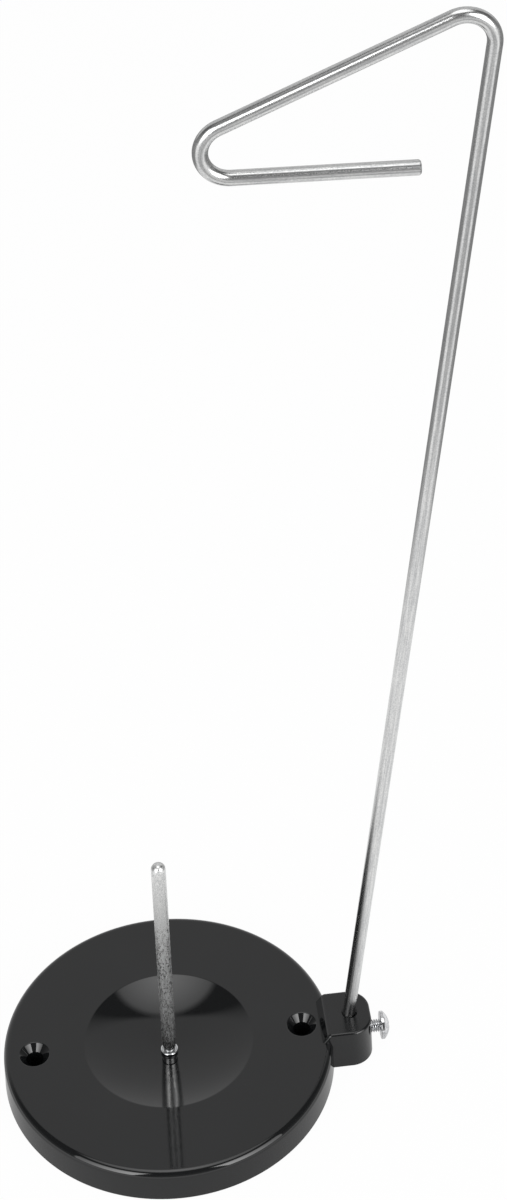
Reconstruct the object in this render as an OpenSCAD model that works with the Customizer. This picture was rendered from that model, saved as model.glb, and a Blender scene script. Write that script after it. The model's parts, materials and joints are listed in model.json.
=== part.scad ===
// Thread stand: a round moulded base with a spool pin, and a bent wire thread guide that
// stands in a lug on the base's rim, where a clamp screw holds it.
// Sizes are in millimetres and angles in degrees. The origin is the centre of the base's
// underside, +X points to the lug and +Z is up.

/* [Base] */
// Diameter across the top of the base
base_d = 100; // [92:1:120]
// Height of the base
base_h = 11; // [11:0.5:16]
// Radius of the rounded top edge
edge_r = 2.3; // [1:0.1:2.4]
// Draft angle of the outer wall
draft = 1.5; // [0.5:0.5:3]
// Thickness of the moulded walls
wall_t = 2.4; // [1.8:0.1:2.4]
// Thickness of the stiffening ribs underneath
rib_t = 1.6; // [1:0.1:2.4]
// Number of ribs on each side of the stand's centre plane
rib_count = 5; // [3:1:7]
// Height of the ribs' lower edges above the table
rib_lift = 3; // [1:0.5:3.5]

/* [Dish] */
// Diameter of the shallow dish in the top
dish_d = 51.4; // [44:0.2:58]
// Depth of the dish at its centre
dish_depth = 5.2; // [4:0.1:5.2]

/* [Table screw holes] */
// Distance between the two holes
hole_pitch = 81.4; // [76:0.2:83]
// Diameter of the holes
hole_d = 5.2; // [4:0.1:6]
// Diameter of the countersinks at the top
countersink_d = 9.2; // [7.5:0.1:9.6]
// Thickness of the moulded tube round each hole
hole_boss_t = 1.4; // [1:0.1:1.8]

/* [Spool pin] */
// Diameter of the pin
pin_d = 4.3; // [4.2:0.1:5]
// Height of the pin's tip above the table
pin_h = 87; // [70:0.5:120]
// Diameter of the pin's tapered neck where it meets the pin
pin_neck_d = 4.1; // [4:0.05:4.1]
// Diameter of the neck's foot in the ferrule
pin_foot_d = 3.9; // [3.8:0.05:3.95]
// Length of the neck that shows above the ferrule
pin_neck_len = 2.3; // [1:0.1:4]
// Diameter of the threaded tail
pin_tail_d = 3.5; // [3:0.1:3.5]
// Length of tail that shows under the nut
pin_tail_show = 0.3; // [0.1:0.1:0.5]
// Diameter of the ferrule's flange on the dish floor
ferrule_d = 5.3; // [5.2:0.1:6]
// Height of the ferrule's lip above the dish floor
ferrule_h = 1.1; // [1:0.1:1.6]
// Thickness of the ferrule's rolled lip
ferrule_lip = 0.54; // [0.4:0.02:0.54]
// Wall of the ferrule's sleeve in the base
sleeve_t = 0.5; // [0.4:0.1:0.5]
// Diameter of the washer underneath
washer_d = 8; // [7.5:0.5:10]
// Thickness of the washer
washer_t = 0.5; // [0.4:0.1:0.8]
// Width across the flats of the pin's nut
pin_nut_w = 6; // [5.5:0.5:7]
// Thickness of the pin's nut
pin_nut_t = 1.8; // [1.6:0.1:1.8]

/* [Lug] */
// Width of the lug
lug_w = 17.6; // [16:0.2:22]
// Reach of the lug beyond the base's edge
lug_reach = 12.2; // [11.8:0.2:16]
// Distance of the lug's inner wall from the base's edge
lug_inset = 3.9; // [3:0.1:4.5]
// Rise of the lug above the base's top
lug_rise = 3.1; // [1.5:0.1:5]
// Radius of the lug's two outer corners in plan
lug_corner_r = 6.5; // [4:0.1:7]
// Radius of the lug's two inner corners in plan
lug_heel_r = 2; // [1.8:0.1:3]
// Radius of the lug's rounded top edge
lug_edge_r = 0.8; // [0.4:0.1:1]

/* [Thread guide] */
// Diameter of the guide's wire
wire_d = 3.9; // [3.2:0.1:4]
// Outward lean of the wire's stem
wire_lean = 6; // [3:0.1:8]
// Distance of the socket's mouth beyond the base's edge
socket_out = 5.2; // [5:0.1:6]
// Thickness of the floor under the socket
socket_floor = 2; // [1.5:0.1:3]
// Width of the chamfer round the socket's mouth
socket_chamfer = 0.8; // [0.4:0.1:1]
// Height of the guide's top above the table
guide_h = 357.5; // [300:0.5:400]
// Centreline radius of the two bends
bend_r = 7.3; // [6:0.1:9]
// Length of the straight arm between the bends
arm_len = 60.7; // [50:0.1:70]
// Slope of the arm, falling towards the pin
arm_slope = 24.1; // [18:0.1:28]
// Length of the straight return leg under the arm
leg_len = 45.8; // [36:0.2:52]
// Slope of the return leg, falling towards the stem
leg_slope = 1.3; // [0:0.1:4]
// Loss of diameter where the wire is bent
bend_thin = 0.02; // [0.02:0.01:0.1]
// Chamfer at the wire's two cut ends
wire_chamfer = 0.4; // [0.2:0.1:0.6]

/* [Clamp] */
// Thread diameter of the clamp screw
clamp_d = 4; // [3.5:0.1:4]
// Height of the clamp screw above the table
clamp_z = 6.5; // [6.2:0.1:7.5]
// Length of thread that shows between the lug and the head
clamp_show = 2.8; // [1:0.1:5]
// Diameter of the screw's head
head_d = 8.5; // [7:0.1:9]
// Height of the screw's head
head_h = 2.8; // [2.2:0.1:3.2]
// Height of the head's straight edge under its dome
head_edge_h = 1; // [0.8:0.1:1.6]
// Step from the thread down to the screw's tip
tip_step = 0.5; // [0.3:0.1:0.7]
// Length of the screw's tip
tip_len = 1; // [0.6:0.1:1.5]
// Width of the two crossed drive slots
drive_w = 1; // [0.8:0.1:1.2]
// Length of the two crossed drive slots
drive_len = 4.6; // [4:0.1:5]
// Depth of the drive slots
drive_depth = 1.4; // [1:0.1:1.6]
// Width of the square nut
nut_w = 7; // [6.5:0.1:7.5]
// Thickness of the square nut
nut_t = 2.2; // [1.8:0.1:2.3]
// Thickness of the lug's wall outside the nut
nut_wall = 2; // [1.5:0.1:2]

/* [Clearances] */
// Clearance all round the wire in its socket
wire_fit = 0.08; // [0.04:0.01:0.1]
// Clearance under the wire's foot
foot_gap = 0.1; // [0.05:0.05:0.3]
// Clearance between the clamp screw's tip and the wire
tip_gap = 0.15; // [0.1:0.05:0.3]
// Clearance all round a screw thread in its nut
thread_fit = 0.06; // [0.03:0.01:0.1]
// Clearance all round a screw in a moulded hole
hole_fit = 0.15; // [0.1:0.05:0.3]
// Clearance on each side of the square nut in its slot
nut_fit = 0.1; // [0.05:0.05:0.2]
// Clearance all round the pin and its ferrule
pin_fit = 0.05; // [0.03:0.01:0.1]

/* [Hidden] */
$fn = 96;
// Length by which a cut runs past the face that it opens
over = 1;
// Length by which one length of a piece runs into the next
lap = 0.1;
plastic = "#2b2d2f";
steel = "#c3c5c7";
plated = "#d9dadb";

base_r = base_d / 2;
edge_c = [base_r - edge_r, base_h - edge_r];
wall_top = edge_c + edge_r * [cos(draft), sin(draft)];
foot_r = wall_top.x + wall_top.y * tan(draft);
ceiling_z = base_h - wall_t;
dish_r = (pow(dish_d / 2, 2) + pow(dish_depth, 2)) / (2 * dish_depth);
dish_c = [0, base_h - dish_depth + dish_r];
floor_z = base_h - dish_depth;

sleeve_d = pin_tail_d + 2 * (pin_fit + sleeve_t);
boss_drop = 0.4;
boss_rim = 1;
seat_z = floor_z - wall_t - boss_drop;
boss_d = washer_d + 2 * boss_rim;
rib_root = (washer_d + boss_rim) / 2;
flange_z = floor_z + ferrule_h - ferrule_lip;
shoulder_z = floor_z + ferrule_h + pin_neck_len;
tail_z = seat_z - washer_t - pin_nut_t - pin_tail_show;

lug_top = base_h + lug_rise;
lug_in = base_r - lug_inset;
lug_out = base_r + lug_reach;

wire_x = base_r + socket_out;
socket_d = wire_d + 2 * wire_fit;
socket_len = (lug_top - socket_floor - socket_d / 2 * sin(wire_lean)) / cos(wire_lean);
bend_z = guide_h - wire_d / 2 - bend_r;
stem_len = (bend_z - bend_r * sin(wire_lean) - lug_top) / cos(wire_lean);
crown_turn = 90 + wire_lean + arm_slope;
hairpin_turn = 180 - arm_slope - leg_slope;

slot_x = lug_out - nut_wall - nut_t - 2 * nut_fit;
tip_d = clamp_d - 2 * tip_step;
tip_x = wire_x_at(clamp_z + tip_d / 2) + wire_d / 2 / cos(wire_lean) + tip_gap;
head_x = lug_out + clamp_show;
dome_h = head_h - head_edge_h;
dome_r = (pow(head_d / 2, 2) + pow(dome_h, 2)) / (2 * dome_h);

// X of the wire's centreline at a height in the lug
function wire_x_at(z) = wire_x - (lug_top - z) * tan(wire_lean);

// Places its children on the wire's axis, with +Z up the stem from the lug's top
module on_wire() {
    translate([wire_x, 0, lug_top])
        rotate([0, wire_lean, 0])
            children();
}

// Places its children on the clamp screw's axis, with +Z pointing out of the lug
module on_clamp(x) {
    translate([x, 0, clamp_z])
        rotate([0, 90, 0])
            children();
}

// Right half of the base's solid outline, with its rounded and drafted edge
module outline_section() {
    polygon([[0, 0], [foot_r, 0], wall_top, edge_c, [edge_c.x, base_h], [0, base_h]]);
    translate(edge_c)
        circle(r = edge_r);
}

// Right half of the hollow under the top
module hollow_section() {
    polygon([
        [0, -over],
        [foot_r - wall_t + over * tan(draft), -over],
        [foot_r - wall_t - ceiling_z * tan(draft), ceiling_z],
        [0, ceiling_z]
    ]);
}

// Right half of the moulded shell: wall, top and the bowl of the dish
module shell_section() {
    intersection() {
        square([foot_r + over, base_h]);
        difference() {
            union() {
                difference() {
                    outline_section();
                    hollow_section();
                }
                intersection() {
                    outline_section();
                    translate(dish_c)
                        circle(r = dish_r + wall_t);
                }
            }
            translate(dish_c)
                circle(r = dish_r);
        }
    }
}

// Ribs from the pin's boss to the wall, cut off inside the bowl of the dish
module ribs() {
    step = 180 / (rib_count + 1);
    difference() {
        for (side = [0, 180], i = [1 : rib_count])
            rotate(side + i * step)
                translate([rib_root, -rib_t / 2, rib_lift])
                    cube([base_r - wall_t / 2 - rib_root, rib_t, base_h - wall_t / 2 - rib_lift]);
        translate([0, 0, dish_c.y])
            sphere(r = dish_r + wall_t / 2);
    }
}

// Tubes that carry the table screws down to the table
module hole_bosses() {
    for (side = [-1, 1])
        translate([side * hole_pitch / 2, 0, 0])
            cylinder(d = countersink_d + 2 * hole_boss_t, h = ceiling_z + wall_t / 2);
}

// Countersunk holes for the table screws
module table_holes() {
    sink_h = (countersink_d - hole_d) / 2;
    for (side = [-1, 1])
        translate([side * hole_pitch / 2, 0, 0]) {
            translate([0, 0, -over])
                cylinder(d = hole_d, h = base_h + 2 * over);
            translate([0, 0, base_h - sink_h])
                cylinder(d1 = hole_d, d2 = countersink_d + 2 * over, h = sink_h + over);
        }
}

// Plan of the lug, drawn in by an inset on every side
module lug_plan(inset) {
    x0 = lug_in + inset;
    x1 = lug_out - inset;
    half = lug_w / 2 - inset;
    tip = lug_corner_r - inset;
    heel = lug_heel_r - inset;
    translate([x0, -(half - tip)])
        square([x1 - x0, 2 * (half - tip)]);
    translate([x0 + heel, -half])
        square([x1 - tip - x0 - heel, 2 * half]);
    translate([x0, -(half - heel)])
        square([x1 - tip - x0, 2 * (half - heel)]);
    for (side = [-1, 1]) {
        translate([x1 - tip, side * (half - tip)])
            circle(r = tip);
        translate([x0 + heel, side * (half - heel)])
            circle(r = heel);
    }
}

// Quarter bead that rounds one corner of the lug's top edge
module corner_bead(r, turn) {
    rotate(turn)
        rotate_extrude(angle = 90)
            translate([r - lug_edge_r, 0])
                circle(r = lug_edge_r);
}

// Straight bead that rounds one side of the lug's top edge, from one point to another
module side_bead(from, to) {
    d = to - from;
    translate([from.x, from.y, 0])
        rotate([0, 90, atan2(d.y, d.x)])
            cylinder(r = lug_edge_r, h = norm(d));
}

// Lug on the rim, with rounded corners and a rounded top edge
module lug_block() {
    bead_z = lug_top - lug_edge_r;
    half = lug_w / 2;
    tip_c = [lug_out - lug_corner_r, half - lug_corner_r];
    heel_c = [lug_in + lug_heel_r, half - lug_heel_r];
    linear_extrude(bead_z)
        lug_plan(0);
    linear_extrude(lug_top)
        lug_plan(lug_edge_r);
    translate([0, 0, bead_z]) {
        side_bead([lug_out - lug_edge_r, -tip_c.y], [lug_out - lug_edge_r, tip_c.y]);
        side_bead([lug_in + lug_edge_r, -heel_c.y], [lug_in + lug_edge_r, heel_c.y]);
        for (side = [-1, 1]) {
            side_bead([heel_c.x, side * (half - lug_edge_r)], [tip_c.x, side * (half - lug_edge_r)]);
            translate([tip_c.x, side * tip_c.y, 0])
                corner_bead(lug_corner_r, side > 0 ? 0 : -90);
            translate([heel_c.x, side * heel_c.y, 0])
                corner_bead(lug_heel_r, side > 0 ? 90 : 180);
        }
    }
}

// Leaning socket for the wire, blind at its foot and chamfered at its mouth
module wire_socket() {
    on_wire() {
        translate([0, 0, -socket_len])
            cylinder(d = socket_d, h = socket_len + wire_d);
        translate([0, 0, -socket_chamfer])
            cylinder(d1 = socket_d, d2 = socket_d + 4 * socket_chamfer, h = 2 * socket_chamfer);
    }
}

// Hole for the clamp screw and the slot that takes its nut from below
module clamp_cuts() {
    on_clamp(wire_x_at(clamp_z))
        cylinder(d = clamp_d + 2 * hole_fit, h = lug_out - wire_x_at(clamp_z) + over);
    slot_w = nut_w + 2 * nut_fit;
    translate([slot_x, -slot_w / 2, -over])
        cube([nut_t + 2 * nut_fit, slot_w, clamp_z + slot_w / 2 + over]);
}

// Base moulding with its dish, ribs, screw tubes and lug
module base() {
    color(plastic)
        difference() {
            union() {
                rotate_extrude()
                    shell_section();
                ribs();
                hole_bosses();
                translate([0, 0, seat_z])
                    cylinder(d = boss_d, h = floor_z - seat_z - wall_t / 2);
                lug_block();
            }
            table_holes();
            translate([0, 0, -over])
                cylinder(d = sleeve_d + 2 * pin_fit, h = base_h);
            translate([0, 0, floor_z])
                cylinder(d = ferrule_d + 2 * pin_fit, h = dish_depth);
            wire_socket();
            clamp_cuts();
        }
}

// Steel spool pin with a domed tip, a neck at its foot and a threaded tail
module spool_pin() {
    color(plated) {
        translate([0, 0, tail_z])
            cylinder(d = pin_tail_d, h = flange_z - tail_z + lap);
        translate([0, 0, flange_z])
            cylinder(d1 = pin_foot_d, d2 = pin_neck_d, h = shoulder_z - flange_z + lap);
        translate([0, 0, shoulder_z])
            cylinder(d = pin_d, h = pin_h - pin_d / 2 - shoulder_z);
        translate([0, 0, pin_h - pin_d / 2])
            sphere(d = pin_d);
    }
}

// Flanged ferrule that lines the pin's hole, with a rolled lip round the pin's neck
module pin_ferrule() {
    lip_r = ferrule_lip / 2;
    color(plated)
        rotate_extrude() {
            difference() {
                union() {
                    translate([0, seat_z])
                        square([sleeve_d / 2, flange_z - seat_z]);
                    translate([0, floor_z])
                        square([ferrule_d / 2, flange_z - floor_z]);
                    translate([ferrule_d / 2 - ferrule_lip, flange_z - lip_r])
                        square([ferrule_lip, ferrule_lip]);
                    translate([ferrule_d / 2 - lip_r, floor_z + ferrule_h - lip_r])
                        circle(r = lip_r);
                }
                square([pin_tail_d / 2 + pin_fit, pin_h]);
            }
        }
}

// Plain washer under the pin's boss
module pin_washer() {
    color(steel)
        translate([0, 0, seat_z - washer_t])
            difference() {
                cylinder(d = washer_d, h = washer_t);
                translate([0, 0, -over])
                    cylinder(d = pin_tail_d + 2 * hole_fit, h = washer_t + 2 * over);
            }
}

// Thin hexagon nut on the pin's tail
module pin_nut() {
    color(steel)
        translate([0, 0, seat_z - washer_t - pin_nut_t])
            difference() {
                cylinder(d = pin_nut_w / cos(30), h = pin_nut_t, $fn = 6);
                translate([0, 0, -over])
                    cylinder(d = pin_tail_d + 2 * thread_fit, h = pin_nut_t + 2 * over);
            }
}

// Bends the wire towards -X through an angle, and carries its children on from there
module wire_bend(turn) {
    translate([-bend_r, 0, 0]) {
        rotate([90, 0, 0])
            rotate_extrude(angle = turn)
                translate([bend_r, 0])
                    circle(d = wire_d - bend_thin);
        rotate([0, -turn, 0])
            translate([bend_r, 0, 0])
                children();
    }
}

// Straight length of wire along +Z that carries its children at its far end.
// A cut end is chamfered, and the other ends run a lap into the bends.
module wire_straight(len, cut_start = false, cut_end = false) {
    r = wire_d / 2;
    inner_r = r - wire_chamfer;
    start = cut_start ? [[inner_r, 0], [r, wire_chamfer]] : [[r, -lap]];
    finish = cut_end ? [[r, len - wire_chamfer], [inner_r, len]] : [[r, len + lap]];
    rotate_extrude()
        polygon(concat([[0, start[0].y]], start, finish, [[0, finish[cut_end ? 1 : 0].y]]));
    translate([0, 0, len])
        children();
}

// Bent wire guide: leaning stem, crown, sloping arm, hairpin and return leg
module guide_rod() {
    foot = socket_len - foot_gap;
    color(steel)
        on_wire()
            translate([0, 0, -foot])
                wire_straight(stem_len + foot, cut_start = true)
                    wire_bend(crown_turn)
                        wire_straight(arm_len)
                            wire_bend(hairpin_turn)
                                wire_straight(leg_len, cut_end = true);
}

// Pan-head clamp screw with crossed drive slots and a turned-down tip
module clamp_screw() {
    color(plated)
        difference() {
            union() {
                on_clamp(tip_x)
                    cylinder(d = tip_d, h = tip_len + lap);
                on_clamp(tip_x + tip_len)
                    cylinder(d = clamp_d, h = head_x - tip_x - tip_len + lap);
                on_clamp(head_x)
                    intersection() {
                        cylinder(d = head_d, h = head_h);
                        translate([0, 0, head_h - dome_r])
                            sphere(r = dome_r);
                    }
            }
            on_clamp(head_x + head_h - drive_depth)
                for (turn = [45, 135])
                    rotate(turn)
                        translate([-drive_len / 2, -drive_w / 2, 0])
                            cube([drive_len, drive_w, drive_depth + over]);
        }
}

// Square nut held in the lug's slot
module clamp_nut() {
    color(steel)
        difference() {
            translate([slot_x + nut_fit, -nut_w / 2, clamp_z - nut_w / 2])
                cube([nut_t, nut_w, nut_w]);
            on_clamp(slot_x - over)
                cylinder(d = clamp_d + 2 * thread_fit, h = nut_t + 2 * nut_fit + 2 * over);
        }
}

base();
spool_pin();
pin_ferrule();
pin_washer();
pin_nut();
guide_rod();
clamp_screw();
clamp_nut();
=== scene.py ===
"""Thread stand: a moulded base with a spool pin, and a bent wire thread guide clamped in its lug."""
import json
import math
import bmesh
import bpy
from bpy.props import FloatProperty, FloatVectorProperty, IntProperty, PointerProperty, StringProperty
from mathutils import Matrix, Vector


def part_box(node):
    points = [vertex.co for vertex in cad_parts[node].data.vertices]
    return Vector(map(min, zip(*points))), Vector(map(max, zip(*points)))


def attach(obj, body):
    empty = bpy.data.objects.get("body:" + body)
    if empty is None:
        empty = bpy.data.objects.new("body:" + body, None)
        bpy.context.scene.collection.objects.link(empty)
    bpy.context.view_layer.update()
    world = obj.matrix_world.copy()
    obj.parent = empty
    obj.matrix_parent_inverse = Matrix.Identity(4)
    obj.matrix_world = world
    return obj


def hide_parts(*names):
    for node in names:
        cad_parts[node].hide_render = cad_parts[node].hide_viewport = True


bl_info = {
    "name": "Thread stand",
    "version": (1, 0, 0),
    "blender": (4, 5, 0),
    "location": "3D View > Sidebar > Thread stand",
    "description": "Models a thread stand's moulded base, spool pin, wire guide and clamp screw",
    "category": "Object",
}

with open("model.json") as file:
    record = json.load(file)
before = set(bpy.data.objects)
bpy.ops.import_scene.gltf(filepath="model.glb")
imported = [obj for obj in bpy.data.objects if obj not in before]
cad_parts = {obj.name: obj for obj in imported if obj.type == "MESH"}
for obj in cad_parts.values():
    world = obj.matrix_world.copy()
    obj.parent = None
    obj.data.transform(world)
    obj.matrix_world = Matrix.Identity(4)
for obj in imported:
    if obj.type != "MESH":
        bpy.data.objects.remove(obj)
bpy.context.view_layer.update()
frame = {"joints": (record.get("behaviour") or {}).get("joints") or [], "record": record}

MM = 0.001
# Points closer than this are one point
MERGE = 0.002 * MM
# Edges this close to a place are taken to be there when they are chosen
NEAR = 0.01 * MM
# Length by which a cutter runs past the face that it opens
OVER = 1.0 * MM
# Play all round a snug fit, a thread in its nut and a tail in its washer
SNUG = 0.05 * MM
THREAD_PLAY = 0.06 * MM
WASHER_PLAY = 0.15 * MM
# Depth of a thread, in pitches
THREAD_DEPTH = 0.61
# A Map Range node takes a value, the two ends of its range and the two levels there, in that order, and
# this setting eases it in and out
EASED = {"interpolation_type": "SMOOTHSTEP"}

JOINTS = {joint["name"]: joint for joint in frame["joints"]}
MOUNTS = {mount["name"]: mount["dims"] for mount in frame["record"]["mounts"]}
SOCKET = Vector(JOINTS["guide_swivel"]["pos_m"])
WIRE_AXIS = Vector(JOINTS["guide_swivel"]["axis"])
CLAMP = Vector(JOINTS["clamp_turn"]["pos_m"])
BASE_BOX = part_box("base")
PIN_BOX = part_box("spool_pin")
FERRULE_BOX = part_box("pin_ferrule")
WASHER_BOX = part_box("pin_washer")
PIN_NUT_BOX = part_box("pin_nut")
GUIDE_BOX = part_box("guide_rod")
SCREW_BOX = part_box("clamp_screw")
CLAMP_NUT_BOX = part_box("clamp_nut")


def length(name, text, mm):
    """A length property, with its default in millimetres."""
    return FloatProperty(name=name, description=text, default=mm * MM, unit="LENGTH", precision=5)


def angle(name, text, degrees):
    """An angle property, with its default in degrees."""
    return FloatProperty(name=name, description=text, default=math.radians(degrees), unit="ROTATION")


def colour(name, text, code):
    """A colour property that holds an sRGB hex value."""
    return StringProperty(name=name, description=text, default=code)


class BaseSizes(bpy.types.PropertyGroup):
    """Sizes of the moulded base."""
    top_r: length("Top radius", "Radius of the base's top, to the start of its draft", 50.0)
    height: length("Height", "Height of the base's flat top", 11.0)
    edge_r: length("Edge radius", "Radius of the rounded top edge", 2.3)
    draft: angle("Draft", "Draft of the outer wall", 1.5)
    wall: length("Wall", "Thickness of the moulded walls", 2.4)
    foot_round: length("Foot rounding", "Radius of the foot's two edges", 0.3)
    dish_d: length("Dish", "Diameter of the dish in the top", 51.4)
    dish_depth: length("Dish depth", "Depth of the dish at its centre", 5.2)
    dish_lip: length("Dish lip", "Radius of the dish's rounded rim", 1.4)
    hole_pitch: length(
        "Hole pitch", "Distance between the table screws", MOUNTS["table_screws"]["spacing_x_mm"])
    hole_r: length(
        "Hole radius", "Radius of the table screw holes", MOUNTS["table_screws"]["hole_r_mm"])
    sink_r: length("Countersink radius", "Radius of the countersinks at the top", 4.6)
    sink_lip: length("Countersink lip", "Radius of the countersinks' rounded lips", 0.55)
    tube: length("Screw tube", "Wall of the tubes round the table screws", 1.4)
    rib: length("Rib", "Thickness of the ribs underneath", 1.6)
    rib_lift: length("Rib lift", "Height of the ribs' lower edges", 3.0)
    rib_count: IntProperty(name="Ribs", description="Ribs on each side of the centre plane", default=5)
    boss_rim: length("Boss rim", "Rim of the pin's boss beyond its washer", 1.0)
    pin_hole_r: length("Pin hole radius", "Radius of the hole for the ferrule's sleeve", 2.35)


class LugSizes(bpy.types.PropertyGroup):
    """Sizes of the lug that holds the wire guide."""
    width: length("Width", "Width of the lug at its top", 17.2)
    inner_x: length("Inner wall", "Distance of the lug's inner wall from the pin", 46.1)
    outer_x: length("Outer wall", "Distance of the lug's outer wall from the pin at its top", 61.8)
    draft: angle("Draft", "Draft of the lug's walls", 1.5)
    slope: length("Inner slope", "Run of the inner wall's slope above the base", 2.0)
    corner_r: length("Corner radius", "Radius of the two outer corners", 6.5)
    heel_r: length("Heel radius", "Radius of the two inner corners", 1.0)
    edge_r: length("Edge radius", "Radius of the rounded top edge", 0.9)
    socket_r: length("Socket radius", "Radius of the wire's socket", 2.03)
    socket_depth: length("Socket depth", "Depth of the socket along the wire", 11.953)
    mouth: length("Socket mouth", "Width of the chamfer round the socket's mouth", 0.35)
    clamp_r: length("Clamp hole radius", "Radius of the clamp screw's hole", 2.15)
    nut_gap: length("Nut gap", "Clearance round the square nut in its slot", 0.1)


class GuideSizes(bpy.types.PropertyGroup):
    """Sizes of the bent wire guide."""
    wire_r: length("Wire radius", "Radius of the wire", 1.95)
    foot: length("Foot depth", "Length of wire in the socket", 11.853)
    bend_r: length("Bend radius", "Radius of the two bends at the wire's middle", 7.3)
    arm: length("Arm", "Length of the straight arm", 60.7)
    arm_slope: angle("Arm slope", "Slope of the arm, falling towards the pin", 24.1)
    leg: length("Return leg", "Length of the straight return leg", 45.8)
    leg_slope: angle("Leg slope", "Slope of the leg, falling towards the stem", 1.3)
    chamfer: length("Chamfer", "Chamfer at the two cut ends", 0.4)


class PinSizes(bpy.types.PropertyGroup):
    """Sizes of the spool pin and its ferrule."""
    pin_r: length("Pin radius", "Radius of the pin", MOUNTS["spool_pin"]["r_mm"])
    neck_r: length("Neck radius", "Radius of the neck under the shoulder", 1.9)
    neck_foot_r: length("Neck foot radius", "Radius of the neck in the ferrule", 1.8)
    tail_r: length("Tail radius", "Radius of the threaded tail", 1.75)
    shoulder_round: length("Shoulder rounding", "Radius of the shoulder's edge", 0.22)
    lip: length("Ferrule lip", "Thickness of the ferrule's rolled lip", 0.54)
    sleeve_r: length("Sleeve radius", "Outer radius of the ferrule's sleeve", 2.3)
    tail_pitch: length("Tail pitch", "Pitch of the tail's thread", 0.6)


class ScrewSizes(bpy.types.PropertyGroup):
    """Sizes of the clamp screw and the fasteners underneath."""
    thread_r: length("Thread radius", "Outer radius of the clamp screw's thread", 2.0)
    pitch: length("Pitch", "Pitch of the clamp screw's thread", 0.7)
    tip_r: length("Tip radius", "Radius of the screw's tip", 1.5)
    tip: length("Tip", "Length of the screw's tip", 1.0)
    head_r: length("Head radius", "Radius of the screw's head", 4.25)
    head: length("Head", "Height of the screw's head", 2.8)
    head_edge: length("Head edge", "Height of the head's straight edge", 1.0)
    drive_w: length("Drive width", "Width of the crossed drive slots", 1.0)
    drive: length("Drive length", "Length of the crossed drive slots", 4.6)
    drive_depth: length("Drive depth", "Depth of the drive slots", 1.4)
    chamfer: length("Nut chamfer", "Chamfer of the nuts' and washer's edges", 0.2)


class Finishes(bpy.types.PropertyGroup):
    """Colours of the finishes, as sRGB hex values."""
    plastic: colour("Plastic", "Black of the moulded base", "#0b0c0d")
    plastic_flow: colour("Plastic flow", "Slightly paler black along the moulding's flow", "#101112")
    wire: colour("Wire", "Plated wire between its drawing lines", "#d8d8d7")
    wire_line: colour("Wire lines", "Plated wire in its drawing lines", "#b6b7b8")
    pin: colour("Pin", "Satin plate on the pin", "#e4e4e3")
    pin_grain: colour("Pin grain", "Darker grain of the pin's satin plate", "#d2d3d3")
    bright: colour("Bright plate", "Bright plate on the screw and ferrule", "#e2e3e4")
    bright_dull: colour("Dulled plate", "Handled places on the bright plate", "#b2b3b5")
    zinc: colour("Zinc", "Zinc plate on the nuts and washer", "#b4b7ba")
    zinc_dark: colour("Zinc spangle", "Darker spangles of the zinc plate", "#9a9da1")


class StageSettings(bpy.types.PropertyGroup):
    """Camera, floor and light."""
    camera_place: FloatVectorProperty(
        name="Camera", description="Place of the camera", subtype="TRANSLATION", unit="LENGTH",
        default=(-21.489 * MM, -546.092 * MM, 658.536 * MM))
    camera_forward: FloatVectorProperty(
        name="Forward", description="Direction that the camera looks in", subtype="DIRECTION",
        default=(0.11467, 0.79344, -0.59775))
    camera_right: FloatVectorProperty(
        name="Right", description="Direction to the right in the picture", subtype="DIRECTION",
        default=(0.98972, -0.14304, 0.0))
    lens: FloatProperty(
        name="Lens", description="Focal length in millimetres", default=81.232, unit="CAMERA")
    shift: FloatVectorProperty(
        name="Shift", description="Shift of the lens, since the picture is a crop", size=2,
        default=(-0.08532, -0.16667))


def settings():
    """The scene's property groups."""
    return bpy.context.scene.thread_stand


def linear(code):
    """Turns an sRGB hex value to a linear colour."""
    parts = [int(code[i:i + 2], 16) / 255 for i in (1, 3, 5)]
    return tuple(p / 12.92 if p <= 0.04045 else ((p + 0.055) / 1.055) ** 2.4 for p in parts) + (1.0,)


def feed(tree, node, inputs):
    """Sets or links a node's inputs by name or number. A node as a value gives its first output in use."""
    for key, value in inputs:
        if isinstance(value, bpy.types.Node):
            value = next(output for output in value.outputs if output.enabled)
        if isinstance(value, bpy.types.NodeSocket):
            tree.links.new(value, node.inputs[key])
        else:
            node.inputs[key].default_value = value


def add(tree, kind, inputs=(), **facts):
    """Adds one node with its own settings, and feeds its inputs."""
    node = tree.nodes.new(kind)
    for key, value in facts.items():
        setattr(node, key, value)
    feed(tree, node, inputs)
    return node


def pick(piece):
    """Makes one piece the only selected one."""
    bpy.ops.object.select_all(action="DESELECT")
    piece.select_set(True)
    bpy.context.view_layer.objects.active = piece


def arc(centre, radius, start, end, steps):
    """Points of an arc from one angle to another, in degrees from outwards towards upwards."""
    turns = [math.radians(start + (end - start) * i / steps) for i in range(steps + 1)]
    return [(centre[0] + radius * math.cos(t), centre[1] + radius * math.sin(t)) for t in turns]


def draw(name, profile):
    """Draws a line through (radius, height) points, from a plane that is drawn in to one point."""
    bpy.ops.object.select_all(action="DESELECT")
    bpy.ops.mesh.primitive_plane_add(size=MM, enter_editmode=True)
    piece = bpy.context.object
    piece.name = piece.data.name = name
    bpy.ops.mesh.select_mode(type="VERT")
    bpy.ops.mesh.select_all(action="SELECT")
    bpy.ops.mesh.merge(type="CENTER")
    bpy.ops.transform.translate(value=(profile[0][0], 0, profile[0][1]))
    for (r0, z0), (r1, z1) in zip(profile, profile[1:]):
        bpy.ops.mesh.extrude_vertices_move(TRANSFORM_OT_translate={"value": (r1 - r0, 0, z1 - z0)})
    bpy.ops.mesh.select_all(action="SELECT")
    return piece


def close_up():
    """Merges the points that meet and turns every face outwards, in edit mode."""
    bpy.ops.mesh.select_all(action="SELECT")
    bpy.ops.mesh.remove_doubles(threshold=MERGE)
    bpy.ops.mesh.normals_make_consistent(inside=False)


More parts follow.
